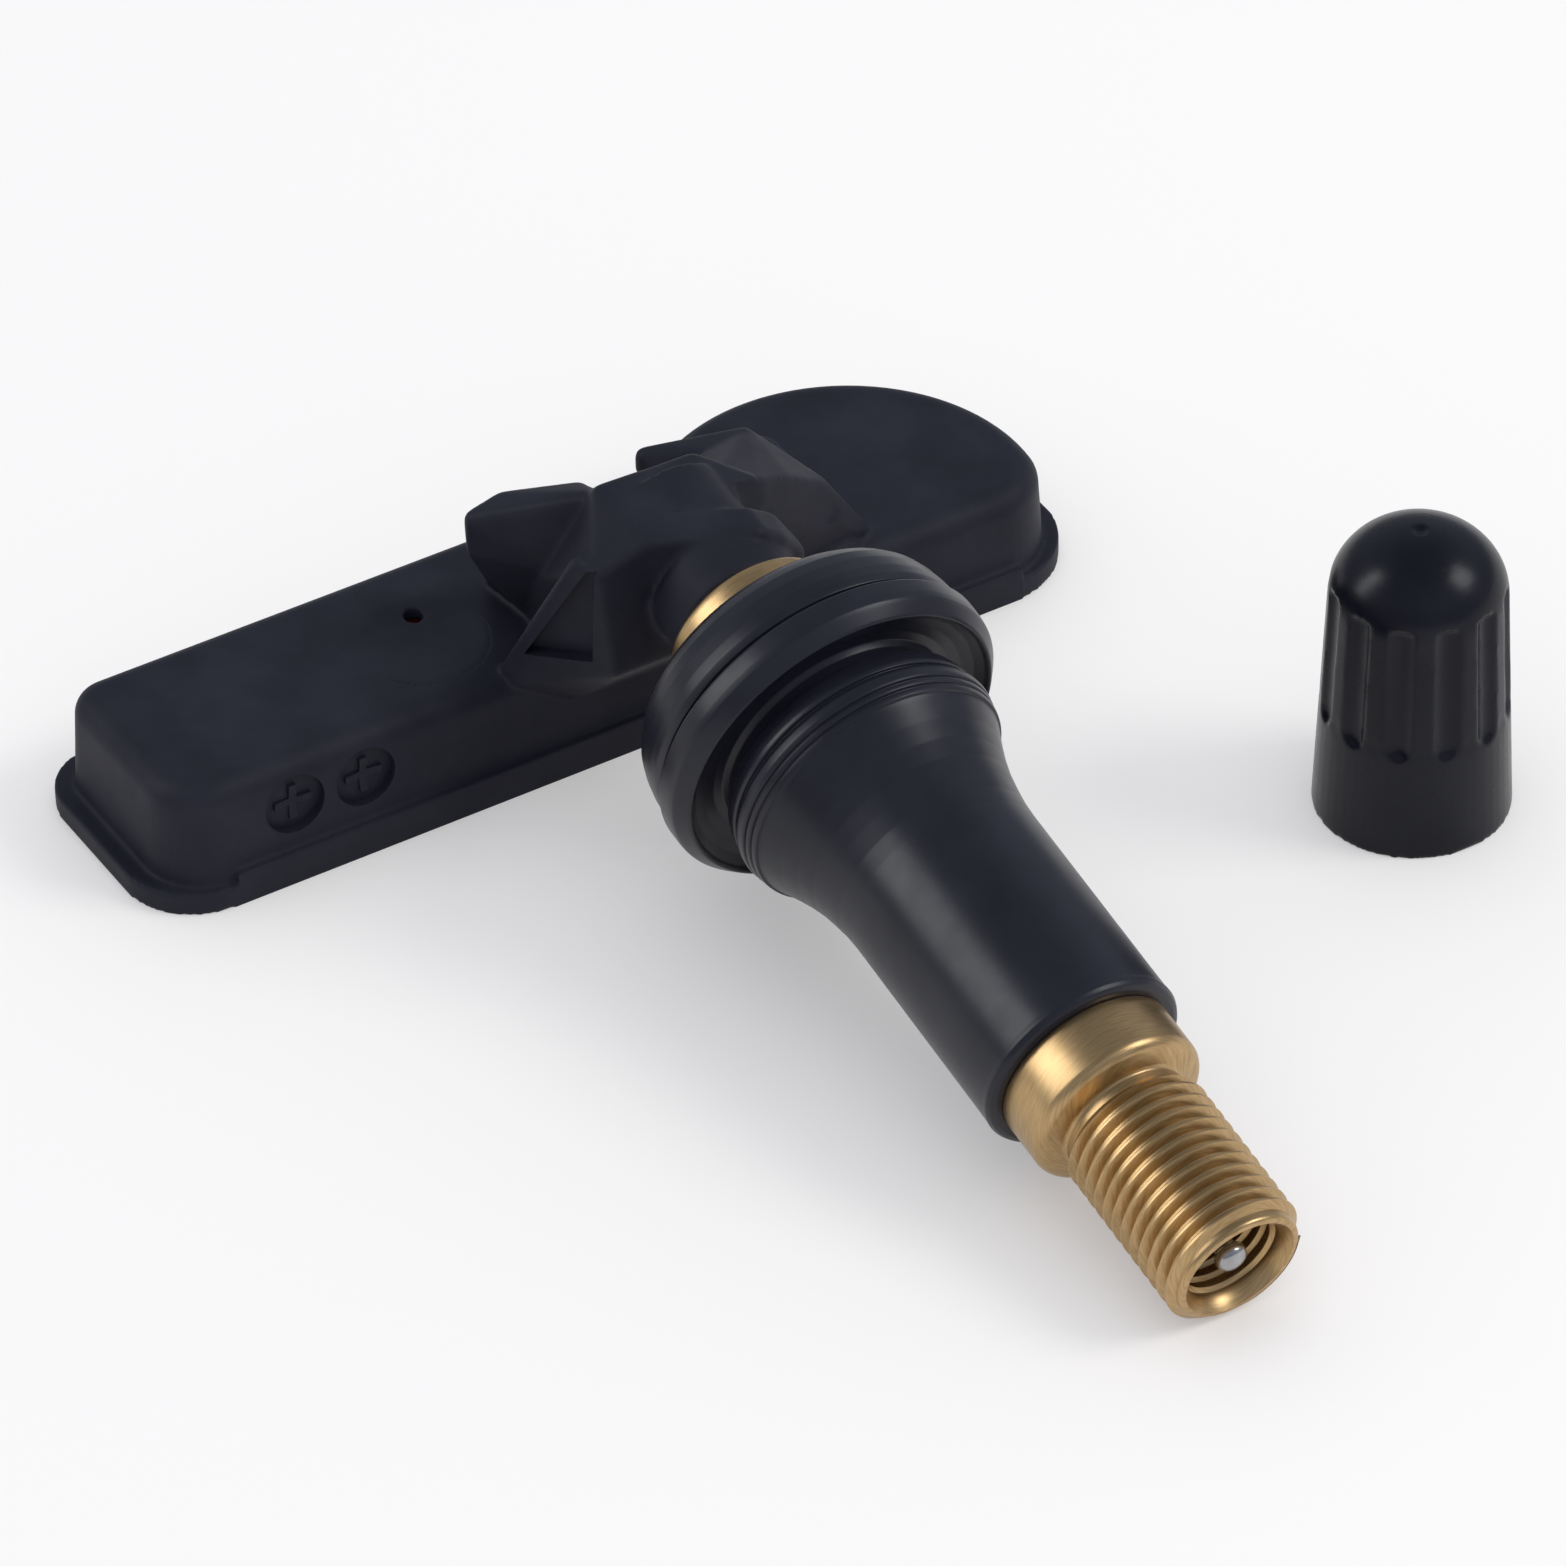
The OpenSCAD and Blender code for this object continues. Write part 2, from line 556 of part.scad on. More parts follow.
// Flange profile: two places on the rim's front rounding, back of the rim, start of the rounded back
flange_shares = [0.05, 0.15, 0.318, 0.576];
neck_end = flange_t + face_deep;
neck_t = neck_end - rim_neck_l;
bulb_t = neck_t - bulb_w;
flare_start = bulb_t - flare_l;
flare_r = neck_r + (bulb_r - neck_r) * bulb_shares[2][1];
step_t = flange_t + flange_l * flange_shares[2];
module valve_rubber() color(rubber_colour) on_stem() turned(concat(
    [[rubber_t, shank_r], [rubber_t, sleeve_r - lip], [rubber_t + lip, sleeve_r]],
    [for (i = [0:flare_steps]) let (s = i / flare_steps)
        [flare_start + flare_l * s, sleeve_r + (flare_r - sleeve_r) * pow(s, flare_power)]],
    [for (p = bulb_shares) [bulb_t + bulb_w * p[0], neck_r + (bulb_r - neck_r) * p[1]]],
    [[neck_t, neck_r], [neck_end, neck_r], [flange_t, flange_r - 2 * step_deep],
        [flange_t + flange_l * flange_shares[0], flange_r - step_deep],
        [flange_t + flange_l * flange_shares[1], flange_r], [step_t, flange_r],
        [step_t, flange_r - 2 * step_deep], [step_t + step_w, flange_r - 2 * step_deep],
        [step_t + step_w, flange_r - step_deep]],
    [for (i = [0:back_steps]) let (a = i * 90 / back_steps)
        [flange_t + flange_l * (flange_shares[3] + (1 - flange_shares[3]) * sin(a)),
            head_r + (flange_r - step_deep - head_r) * cos(a)]],
    [[flange_end, shank_r]]));

// Screw that holds the stem in the bracket
drive_r = 0.8;
screw_tip = 0.6;
screw_top_share = 0.6;
module stem_screw() color(steel_colour) on_stem() difference() {
    turned([[tenon_t + screw_tip, 0], [tenon_t + screw_tip, screw_r - chamfer], [tenon_t + screw_tip + chamfer, screw_r],
        [screw_seat_t, screw_r], [screw_seat_t, screw_head_r], [screw_seat_t + screw_head_l / 2, screw_head_r],
        [screw_seat_t + screw_head_l, screw_head_r * screw_top_share], [screw_seat_t + screw_head_l, 0]]);
    translate([0, 0, screw_seat_t + screw_head_l / 2]) cylinder(r = drive_r, h = screw_head_l, $fn = 6);
}

// Valve core: threaded plug with its bridge, barrel, seal, pin, spring, cup and washer
module core_housing() color(brass_colour) on_stem() difference() {
    intersection() {
        translate([0, 0, core_t]) cylinder(r = core_bore_r, h = bridge_l + plug_l);
        union() {
            translate([-core_bore_r, -bridge_w / 2, core_t]) cube([2 * core_bore_r, bridge_w, bridge_l + plug_l]);
            translate([0, 0, core_t + bridge_l]) cylinder(r = core_bore_r, h = plug_l);
        }
    }
    cylinder(r = guide_r, h = barrel_t);
    for (s = [-1, 1]) translate([0, s * (core_bore_r - barrel_wall * 2), core_t]) cylinder(r = guide_r, h = barrel_t);
}

module core_barrel() color(brass_colour) on_stem() difference() {
    translate([0, 0, barrel_t]) cylinder(r = barrel_r, h = barrel_end - barrel_t);
    translate([0, 0, barrel_t + shoulder]) cylinder(r = barrel_r - barrel_wall, h = barrel_end - barrel_t - 2 * shoulder);
    translate([0, 0, barrel_t - over]) cylinder(r = guide_r, h = barrel_end);
    translate([0, 0, barrel_end - shoulder - over]) cylinder(r = guide_r + barrel_wall / 2, h = 2 * over + shoulder);
}

module core_seal() color(seal_colour) on_stem() turned([
    [seat_t, barrel_r], [seat_t, core_bore_r - clear], [seat_t + seat_l - clear, barrel_bore_r],
    [seat_t + seat_l - clear, barrel_r]]);

module core_pin() color(steel_colour) on_stem() turned([
    [pin_head_t, 0], [pin_head_t, pin_head_r - chamfer / 2], [pin_head_t + chamfer / 2, pin_head_r],
    [pin_head_t + pin_head_l - chamfer / 2, pin_head_r], [pin_head_t + pin_head_l, pin_r],
    [collar_t, pin_r], [collar_t, pin_collar_r], [collar_t + pin_collar_l, pin_collar_r],
    [collar_t + pin_collar_l, pin_r], [washer_t + cup_l, pin_r], [washer_t + cup_l, 0]]);

// Spring between the pin's collar and the barrel's inner shoulder
spring_r = 0.95;
spring_wire = 0.14;
spring_turns = 7;
spring_steps = 16;
wire_sides = 6;
module core_spring() color(steel_colour) on_stem(collar_t + pin_collar_l + spring_wire) {
    run = barrel_end - shoulder - collar_t - pin_collar_l - 2 * spring_wire;
    n = spring_turns * spring_steps;
    points = [for (i = [0:n], j = [0:wire_sides - 1]) let (a = i * 360 / spring_steps, b = j * 360 / wire_sides,
        r = spring_r + spring_wire * cos(b)) [r * cos(a), r * sin(a), run * i / n + spring_wire * sin(b)]];
    sides = [for (i = [0:n - 1], j = [0:wire_sides - 1]) let (k = (j + 1) % wire_sides)
        [i * wire_sides + j, i * wire_sides + k, (i + 1) * wire_sides + k, (i + 1) * wire_sides + j]];
    ends = [[for (j = [wire_sides - 1:-1:0]) j], [for (j = [0:wire_sides - 1]) n * wire_sides + j]];
    polyhedron(points, concat(sides, ends));
}

module core_cup() color(brass_colour) on_stem() turned([
    [washer_t, cup_r - cup_wall], [washer_t, cup_r], [washer_t + cup_l, cup_r], [washer_t + cup_l, pin_r],
    [washer_t + washer_l, pin_r], [washer_t + washer_l, cup_r - cup_wall]]);

module core_washer() color(seal_colour) on_stem() turned([
    [washer_t, pin_r], [washer_t, cup_r - cup_wall], [washer_t + washer_l, cup_r - cup_wall],
    [washer_t + washer_l, pin_r]]);

// Valve cap: tapered skirt, domed top, flutes and a moulding dimple
cap_gap = 0.1;
cap_bore_r = thread_r + cap_gap;
// How far the cap's mouth stays off the collar when the seal meets the stem's tip
cap_lift = 1.8;
cap_bore_h = thread_l - cap_lift;
flute_r = 1;
flute_deep = 0.35;
flute_z = 6.8;
dome_h = 4;
shoulder_z = cap_h - dome_h;
flute_over = 0.8;
flute_top = shoulder_z + flute_over;
dimple_r = 0.6;
dimple_deep = 0.2;
seal_h = 0.8;
seal_in = 0.55;
dome_steps = 16;
module valve_cap() color(rubber_colour) translate([cap_x, -origin_in - cap_y, 0]) difference() {
    rotate_extrude() {
        polygon(concat([[0, 0], [cap_r, 0]],
            [for (i = [0:dome_steps]) let (a = i * 90 / dome_steps)
                [cap_top_r * cos(a), shoulder_z + (cap_h - shoulder_z) * sin(a)]]));
    }
    translate([0, 0, -over]) cylinder(r = cap_bore_r, h = cap_bore_h + over);
    translate([0, 0, cap_bore_h - over]) cylinder(r = cap_bore_r - seal_in, h = seal_h + over);
    lean = atan((cap_r - cap_top_r) / shoulder_z);
    for (i = [0:flutes - 1]) rotate([0, 0, (i + 0.5) * 360 / flutes]) {
        r0 = cap_r - (cap_r - cap_top_r) * flute_z / shoulder_z + flute_r - flute_deep;
        translate([r0, 0, flute_z]) rotate([0, -lean, 0]) {
            sphere(flute_r, $fn = 32);
            cylinder(r = flute_r, h = flute_top - flute_z, $fn = 32);
        }
    }
    translate([0, 0, cap_h - dimple_deep + dimple_r]) sphere(dimple_r, $fn = 32);
}

// Sealing disc, flush in a pocket at the end of the bore
module cap_seal() color(seal_colour) translate([cap_x, -origin_in - cap_y, cap_bore_h])
    cylinder(r = cap_bore_r - seal_in, h = seal_h);

housing();
base_cover();
circuit_board();
battery();
battery_tab_top();
battery_tab_bottom();
pressure_sensor();
port_seal();
antenna();
lf_coil();
crystal();
chip_parts();
valve_stem();
valve_rubber();
stem_screw();
core_housing();
core_barrel();
core_seal();
core_pin();
core_spring();
core_cup();
core_washer();
valve_cap();
cap_seal();
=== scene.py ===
"""Dresses the snap-in tyre pressure sensor with its valve cap and lights it as the photograph does."""
import math

import bpy
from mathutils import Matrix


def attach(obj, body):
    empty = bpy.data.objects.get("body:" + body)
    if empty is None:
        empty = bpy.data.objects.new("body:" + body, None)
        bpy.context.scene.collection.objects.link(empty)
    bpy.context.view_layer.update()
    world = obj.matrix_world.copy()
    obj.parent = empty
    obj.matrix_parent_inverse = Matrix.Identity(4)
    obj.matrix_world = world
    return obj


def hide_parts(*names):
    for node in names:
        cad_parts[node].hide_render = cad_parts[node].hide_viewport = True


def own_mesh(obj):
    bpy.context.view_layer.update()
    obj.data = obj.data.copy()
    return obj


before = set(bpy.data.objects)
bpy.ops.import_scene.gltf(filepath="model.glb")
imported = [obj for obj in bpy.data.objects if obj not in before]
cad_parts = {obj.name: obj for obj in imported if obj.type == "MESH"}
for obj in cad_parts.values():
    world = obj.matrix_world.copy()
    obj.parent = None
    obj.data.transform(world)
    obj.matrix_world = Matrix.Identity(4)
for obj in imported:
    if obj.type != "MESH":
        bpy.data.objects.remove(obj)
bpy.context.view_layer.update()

MM = 0.001

# The stem's tip and slope, as the part's source gives them, in millimetres and degrees
STEM_TIP = (0.0, -60.456, 3.641)
STEM_SLOPE = 12.0


# Materials

CLOUD_SCALE = 260
CLOUD_DETAIL = 6
WEAR_SCALE = 700
WEAR_DETAIL = 4
GRAIN_DETAIL = 3
GRAIN_STRENGTH = 0.35
MARK_SCALE = 900
MARK_DETAIL = 3
MARK_STRENGTH = 0.2
MARK_DEPTH = 0.000004
PLAIN_LAY = (1, 1, 1)
TURNED_LAY = (1, 26, 1)


def new_material(name):
    material = bpy.data.materials.new(name)
    material.use_nodes = True
    tree = material.node_tree
    return material, tree.nodes, tree.links, tree.nodes["Principled BSDF"]


def add_noise(nodes, links, scale, detail, stretch=PLAIN_LAY, turn=(0, 0, 0)):
    place = nodes.new("ShaderNodeTexCoord")
    mapping = nodes.new("ShaderNodeMapping")
    mapping.inputs["Scale"].default_value = stretch
    mapping.inputs["Rotation"].default_value = turn
    noise = nodes.new("ShaderNodeTexNoise")
    noise.inputs["Scale"].default_value = scale
    noise.inputs["Detail"].default_value = detail
    links.new(place.outputs["Object"], mapping.inputs["Vector"])
    links.new(mapping.outputs["Vector"], noise.inputs["Vector"])
    return noise


def colour_between(nodes, links, shader, source, dark, light, start=0.35, end=0.65):
    ramp = nodes.new("ShaderNodeValToRGB")
    ramp.color_ramp.elements[0].position = start
    ramp.color_ramp.elements[1].position = end
    ramp.color_ramp.elements[0].color = (*dark, 1)
    ramp.color_ramp.elements[1].color = (*light, 1)
    links.new(source.outputs["Fac"], ramp.inputs["Fac"])
    links.new(ramp.outputs["Color"], shader.inputs["Base Color"])


def roughness_between(nodes, links, shader, source, low, high):
    gloss = nodes.new("ShaderNodeMapRange")
    gloss.inputs["To Min"].default_value = low
    gloss.inputs["To Max"].default_value = high
    links.new(source.outputs["Fac"], gloss.inputs["Value"])
    links.new(gloss.outputs["Result"], shader.inputs["Roughness"])


def add_bump(nodes, links, shader, source, strength, distance):
    bump = nodes.new("ShaderNodeBump")
    bump.inputs["Strength"].default_value = strength
    bump.inputs["Distance"].default_value = distance
    links.new(source.outputs["Fac"], bump.inputs["Height"])
    links.new(bump.outputs["Normal"], shader.inputs["Normal"])


def grained(name, dark, light, rough_low, rough_high, specular, grain_scale, grain_depth):
    """Moulded or rubber finish: cloudy colour, cloudy gloss and a fine grain."""
    material, nodes, links, shader = new_material(name)
    clouds = add_noise(nodes, links, CLOUD_SCALE, CLOUD_DETAIL)
    colour_between(nodes, links, shader, clouds, dark, light)
    wear = add_noise(nodes, links, WEAR_SCALE, WEAR_DETAIL)
    roughness_between(nodes, links, shader, wear, rough_low, rough_high)
    grain = add_noise(nodes, links, grain_scale, GRAIN_DETAIL)
    add_bump(nodes, links, shader, grain, GRAIN_STRENGTH, grain_depth)
    shader.inputs["Specular IOR Level"].default_value = specular
    return material


def metal(name, dark, light, rough_low, rough_high, lay):
    """Bright metal, with faint turning marks round the stem's axis where its lay is a turned one."""
    material, nodes, links, shader = new_material(name)
    marks = add_noise(nodes, links, MARK_SCALE, MARK_DETAIL, lay, (math.radians(-STEM_SLOPE), 0, 0))
    colour_between(nodes, links, shader, marks, dark, light)
    roughness_between(nodes, links, shader, marks, rough_low, rough_high)
    add_bump(nodes, links, shader, marks, MARK_STRENGTH, MARK_DEPTH)
    shader.inputs["Metallic"].default_value = 1
    return material


case_black = grained("case_black", (0.013, 0.0135, 0.021), (0.018, 0.0185, 0.028),
                     0.5, 0.62, 0.16, 9000, 0.000012)
cover_black = grained("cover_black", (0.008, 0.008, 0.012), (0.012, 0.012, 0.017),
                      0.5, 0.62, 0.3, 6000, 0.00001)
boot_black = grained("boot_black", (0.008, 0.0085, 0.014), (0.012, 0.0125, 0.02),
                     0.28, 0.4, 0.32, 4000, 0.000004)
cap_black = grained("cap_black", (0.004, 0.0045, 0.008), (0.007, 0.0075, 0.013),
                    0.22, 0.34, 0.2, 5000, 0.000004)
board_green = grained("board_green", (0.01, 0.08, 0.03), (0.02, 0.12, 0.05),
                      0.25, 0.35, 0.5, 3000, 0.000004)
seal_red = grained("seal_red", (0.2, 0.03, 0.02), (0.3, 0.06, 0.03),
                   0.4, 0.5, 0.4, 4000, 0.000005)
chip_grey = grained("chip_grey", (0.02, 0.02, 0.022), (0.04, 0.04, 0.045),
                    0.4, 0.5, 0.4, 5000, 0.000005)
brass = metal("turned_brass", (0.4, 0.265, 0.12), (0.53, 0.365, 0.185), 0.3, 0.42, TURNED_LAY)
steel = metal("bright_steel", (0.34, 0.34, 0.35), (0.48, 0.48, 0.49), 0.2, 0.32, PLAIN_LAY)

NODE_MATERIALS = {
    "housing": case_black, "base_cover": cover_black, "circuit_board": board_green, "battery": steel,
    "battery_tab_top": steel, "battery_tab_bottom": steel, "pressure_sensor": chip_grey,
    "port_seal": seal_red, "antenna": brass, "lf_coil": chip_grey, "crystal": steel,
    "chip_parts": chip_grey, "stem_screw": steel, "valve_stem": brass, "valve_rubber": boot_black,
    "core_housing": brass, "core_barrel": brass, "core_seal": seal_red, "core_spring": steel,
    "core_pin": steel, "core_cup": brass, "core_washer": seal_red, "valve_cap": cap_black,
    "cap_seal": seal_red,
}
for node_name, finish in NODE_MATERIALS.items():
    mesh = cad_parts[node_name].data
    mesh.materials.clear()
    mesh.materials.append(finish)


# Tools for the new pieces, which are made in millimetres and brought to metres at the end

MERGE = 0.0005
LATHE_MERGE = 0.002
ARC_SHARE = 0.45
BAR_STEPS = 72


def select_only(piece):
    bpy.ops.object.select_all(action="DESELECT")
    piece.select_set(True)
    bpy.context.view_layer.objects.active = piece


def merged_copy(node_name, name):
    """A closed copy of a CAD node in millimetres."""
    piece = bpy.data.objects.new(name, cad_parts[node_name].data.copy())
    bpy.context.scene.collection.objects.link(piece)
    select_only(piece)
    piece.scale = (1 / MM, 1 / MM, 1 / MM)
    bpy.ops.object.transform_apply(location=True, rotation=True, scale=True)
    bpy.ops.object.mode_set(mode="EDIT")
    bpy.ops.mesh.select_all(action="SELECT")
    bpy.ops.mesh.remove_doubles(threshold=MERGE)
    bpy.ops.object.mode_set(mode="OBJECT")
    return piece


def apply_modifier(piece, kind, **settings):
    modifier = piece.modifiers.new(kind.lower(), kind)
    for key, value in settings.items():
        setattr(modifier, key, value)
    select_only(piece)
    bpy.ops.object.modifier_apply(modifier=modifier.name)


def thinned(piece, faces):
    apply_modifier(piece, "DECIMATE", ratio=min(1.0, faces / len(piece.data.polygons)))


def cut(piece, cutter, operation="DIFFERENCE"):
    """Cuts one piece with another, which is then thrown away."""
    apply_modifier(piece, "BOOLEAN", operation=operation, object=cutter, solver="EXACT")
    bpy.data.objects.remove(cutter)


def round_bar(radius, start, end, turn=(0, 0, 0)):
    """A cylinder between two points, with the turn that lays it along them."""
    middle = [(a + b) / 2 for a, b in zip(start, end)]
    bpy.ops.object.select_all(action="DESELECT")
    bpy.ops.mesh.primitive_cylinder_add(vertices=BAR_STEPS, radius=radius, depth=math.dist(start, end),
                                        location=middle, rotation=turn)
    return bpy.context.object


def block(middle, size):
    bpy.ops.object.select_all(action="DESELECT")
    bpy.ops.mesh.primitive_cube_add(size=1, location=middle, scale=size)
    return bpy.context.object


def lathe(name, profile, steps):
    """A wall turned about Z through (height, radius) pairs in millimetres."""
    bpy.ops.object.select_all(action="DESELECT")
    bpy.ops.mesh.primitive_circle_add(vertices=steps, radius=profile[0][1], location=(0, 0, profile[0][0]))
    piece = bpy.context.object
    piece.name = name
    bpy.ops.object.transform_apply(location=True, rotation=True, scale=True)
    bpy.ops.object.mode_set(mode="EDIT")
    bpy.ops.mesh.select_all(action="SELECT")
    for (start_z, start_r), (end_z, end_r) in zip(profile, profile[1:]):
        bpy.ops.mesh.extrude_region_move(TRANSFORM_OT_translate={"value": (0, 0, end_z - start_z)})
        growth = end_r / start_r
        bpy.ops.transform.resize(value=(growth, growth, 1), center_override=(0, 0, end_z))
    bpy.ops.mesh.select_all(action="SELECT")
    bpy.ops.mesh.remove_doubles(threshold=LATHE_MERGE)
    bpy.ops.mesh.normals_make_consistent(inside=False)
    bpy.ops.object.mode_set(mode="OBJECT")
    return piece


def rounded(points, radius, steps=3):
    """The same corners with each inner one turned into a small arc."""
    result = [points[0]]
    for before, corner, after in zip(points, points[1:], points[2:]):
        to_before = math.dist(corner, before)
        to_after = math.dist(corner, after)
        reach = min(radius, to_before * ARC_SHARE, to_after * ARC_SHARE)
        start = [c + (b - c) * reach / to_before for b, c in zip(before, corner)]
        end = [c + (a - c) * reach / to_after for a, c in zip(after, corner)]
        for step in range(steps + 1):
            s = step / steps
            result.append(tuple((1 - s) ** 2 * p + 2 * s * (1 - s) * c + s * s * q
                                for p, c, q in zip(start, corner, end)))
    result.append(points[-1])
    return result


def place_on_stem(piece):
    """Brings a piece turned about Z to the stem's tip and slope."""
    select_only(piece)
    piece.rotation_euler = (math.radians(STEM_SLOPE - 90), 0, 0)
    piece.location = STEM_TIP
    bpy.ops.object.transform_apply(location=True, rotation=True, scale=True)


def settle(piece, body, finish, crease):
    """Brings a piece from millimetres to metres and gives it its finish and its body."""
    select_only(piece)
    piece.scale = (MM, MM, MM)
    bpy.ops.object.transform_apply(location=True, rotation=True, scale=True)
    piece.data.materials.clear()
    piece.data.materials.append(finish)
    bpy.ops.object.shade_smooth_by_angle(angle=math.radians(crease))
    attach(piece, body)


METAL_CREASE = 40
RUBBER_CREASE = 50
MOULDED_CREASE = 60
SMOOTH_FACTOR = 0.5


# The case with its bracket, as one moulding with soft edges

CASE_VOXEL = 0.14
CASE_SMOOTHS = 3
CASE_FACES = 150000
CASE_FRONT = -6.9
BRACKET_FLOOR = 7.6
BRACKET_CLEAR = 0.3
BRACKET_SMOOTHS = 14
case = merged_copy("housing", "case_moulding")
apply_modifier(case, "REMESH", mode="VOXEL", voxel_size=CASE_VOXEL)
soft = case.vertex_groups.new(name="bracket")
bracket_points = [v.index for v in case.data.vertices
                  if v.co.z > BRACKET_FLOOR or v.co.y < CASE_FRONT - BRACKET_CLEAR]
soft.add(bracket_points, 1.0, "REPLACE")
apply_modifier(case, "SMOOTH", factor=SMOOTH_FACTOR, iterations=CASE_SMOOTHS)
apply_modifier(case, "SMOOTH", factor=SMOOTH_FACTOR, iterations=BRACKET_SMOOTHS, vertex_group="bracket")
thinned(case, CASE_FACES)


# Shallow dish round the port, with a clean edge

ARM_TOP = 7.2
DISH_PLACE = (-10.9, -1.3)
DISH_R = 3.5
DISH_DEEP = 0.62
DISH_BELOW = 1.5
DISH_ABOVE = 0.5
ball_r = (DISH_R ** 2 + DISH_DEEP ** 2) / (2 * DISH_DEEP)
bpy.ops.object.select_all(action="DESELECT")
bpy.ops.mesh.primitive_uv_sphere_add(segments=128, ring_count=160, radius=ball_r,
                                     location=(*DISH_PLACE, ARM_TOP - DISH_DEEP + ball_r))
dish_cutter = bpy.context.object
dish_edge = round_bar(DISH_R, (*DISH_PLACE, ARM_TOP - DISH_BELOW), (*DISH_PLACE, ARM_TOP + DISH_ABOVE))
cut(dish_cutter, dish_edge, "INTERSECT")
cut(case, dish_cutter)


# Two round hollows in the front wall, each with a low cross in it

HOLLOW_PLACES = ((-21.45, 4.58), (-17.35, 4.58))
HOLLOW_R = 1.7
HOLLOW_FLOOR = -6.0
HOLLOW_REACH = 1.2
CROSS_L = 2.1
CROSS_W = 0.42
CROSS_H = 0.2
for x, z in HOLLOW_PLACES:
    hollow = round_bar(HOLLOW_R, (x, HOLLOW_FLOOR - HOLLOW_REACH, z), (x, HOLLOW_FLOOR, z),
                       (math.pi / 2, 0, 0))
    cut(hollow, block((x, HOLLOW_FLOOR, z), (CROSS_L, 2 * CROSS_H, CROSS_W)))
    cut(hollow, block((x, HOLLOW_FLOOR, z), (CROSS_W, 2 * CROSS_H, CROSS_L)))
    cut(case, hollow)


# Shallow recess between the two ribs at the bracket's left side

RECESS_CORNERS = ((-8.4, -7.2, 9.2), (-6.46, -10.86, 10.3), (-6.93, -11.22, 16.4), (-6.68, -11.68, 16.5))
RECESS_OUT = (-0.864, -0.492, -0.11)
RECESS_DEEP = 0.7
RECESS_CLEAR = 1.5


def recess_cutter():
    """A plate set over the four corners and pushed into the wall."""
    bpy.ops.object.select_all(action="DESELECT")
    bpy.ops.mesh.primitive_plane_add(size=2)
    piece = bpy.context.object
    for index, corner in enumerate(RECESS_CORNERS):
        bpy.ops.object.mode_set(mode="EDIT")
        bpy.ops.mesh.select_all(action="DESELECT")
        bpy.ops.object.mode_set(mode="OBJECT")
        vertex = piece.data.vertices[index]
        vertex.select = True
        move = [c + RECESS_CLEAR * out - v for c, out, v in zip(corner, RECESS_OUT, vertex.co)]
        bpy.ops.object.mode_set(mode="EDIT")
        bpy.ops.transform.translate(value=move)
        bpy.ops.object.mode_set(mode="OBJECT")
    push = [-(RECESS_CLEAR + RECESS_DEEP) * out for out in RECESS_OUT]
    bpy.ops.object.mode_set(mode="EDIT")
    bpy.ops.mesh.select_all(action="SELECT")
    bpy.ops.mesh.extrude_region_move(TRANSFORM_OT_translate={"value": push})
    bpy.ops.mesh.select_all(action="SELECT")
    bpy.ops.mesh.normals_make_consistent(inside=False)
    bpy.ops.object.mode_set(mode="OBJECT")
    return piece


cut(case, recess_cutter())
settle(case, "sensor", case_black, MOULDED_CREASE)
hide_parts("housing")


# The brass stem: a turned body, with the core's thread inside its mouth

STEM_STEPS = 144
STEM_ROUND = 0.12
THREAD_ROOT = 3.42
BORE_R = 2.62
BORE_CREST = 2.42
BORE_PITCH = 0.72
BORE_DEEP = 7.2
BORE_FIRST = 0.9
BORE_TOOTH = ((0.0, BORE_R), (0.18, BORE_CREST), (0.3, BORE_CREST), (0.48, BORE_R))


def core_bore():
    """The mouth's inner thread, from deep to the tip."""
    points = [(7.6, 2.6)]
    height = BORE_DEEP
    while height > BORE_FIRST:
        points += [(height - drop, radius) for drop, radius in BORE_TOOTH]
        height -= BORE_PITCH
    return points + [(0.5, 2.66), (0.1, 2.98), (0.0, 3.05)]


stem_outside = [(0.0, 3.05), (0.0, 3.3), (0.16, 3.42), (9.7, THREAD_ROOT), (9.8, 3.36), (10.3, 3.36),
                (10.42, 3.5), (10.72, 4.4), (10.9, 4.62), (11.15, 4.75), (14.0, 4.75), (14.02, 4.3),
                (43.45, 4.3), (43.5, 4.5), (43.7, 4.6), (45.6, 4.6), (45.88, 4.55), (46.1, 4.28),
                (46.1, 2.9), (49.3, 2.9), (49.3, 1.98), (52.0, 1.98), (52.0, 1.1), (49.0, 1.1)]
stem_inside = [(21.5, 1.1), (21.5, 1.9), (9.2, 1.9)]
stem = lathe("stem_body", rounded(stem_outside, STEM_ROUND) + stem_inside + core_bore(), STEM_STEPS)
place_on_stem(stem)
settle(stem, "sensor", brass, METAL_CREASE)
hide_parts("valve_stem")


# The cut thread for the cap

THREAD_CREST = 3.85
THREAD_PITCH = 0.794
THREAD_START = 0.25
THREAD_TURNS = 12
THREAD_STEPS = 72
RIDGE_SINK = 0.06
RIDGE_MIDDLE = 0.2
RIDGE_FOOT_SHARE = 0.94
RIDGE_CREST_SHARE = 0.16
BLANK_STEPS = 96
thread_room = [(0.02, 0.05), (0.02, 3.36), (0.5, 3.87), (9.35, 3.87), (9.85, 3.3), (9.85, 0.05)]


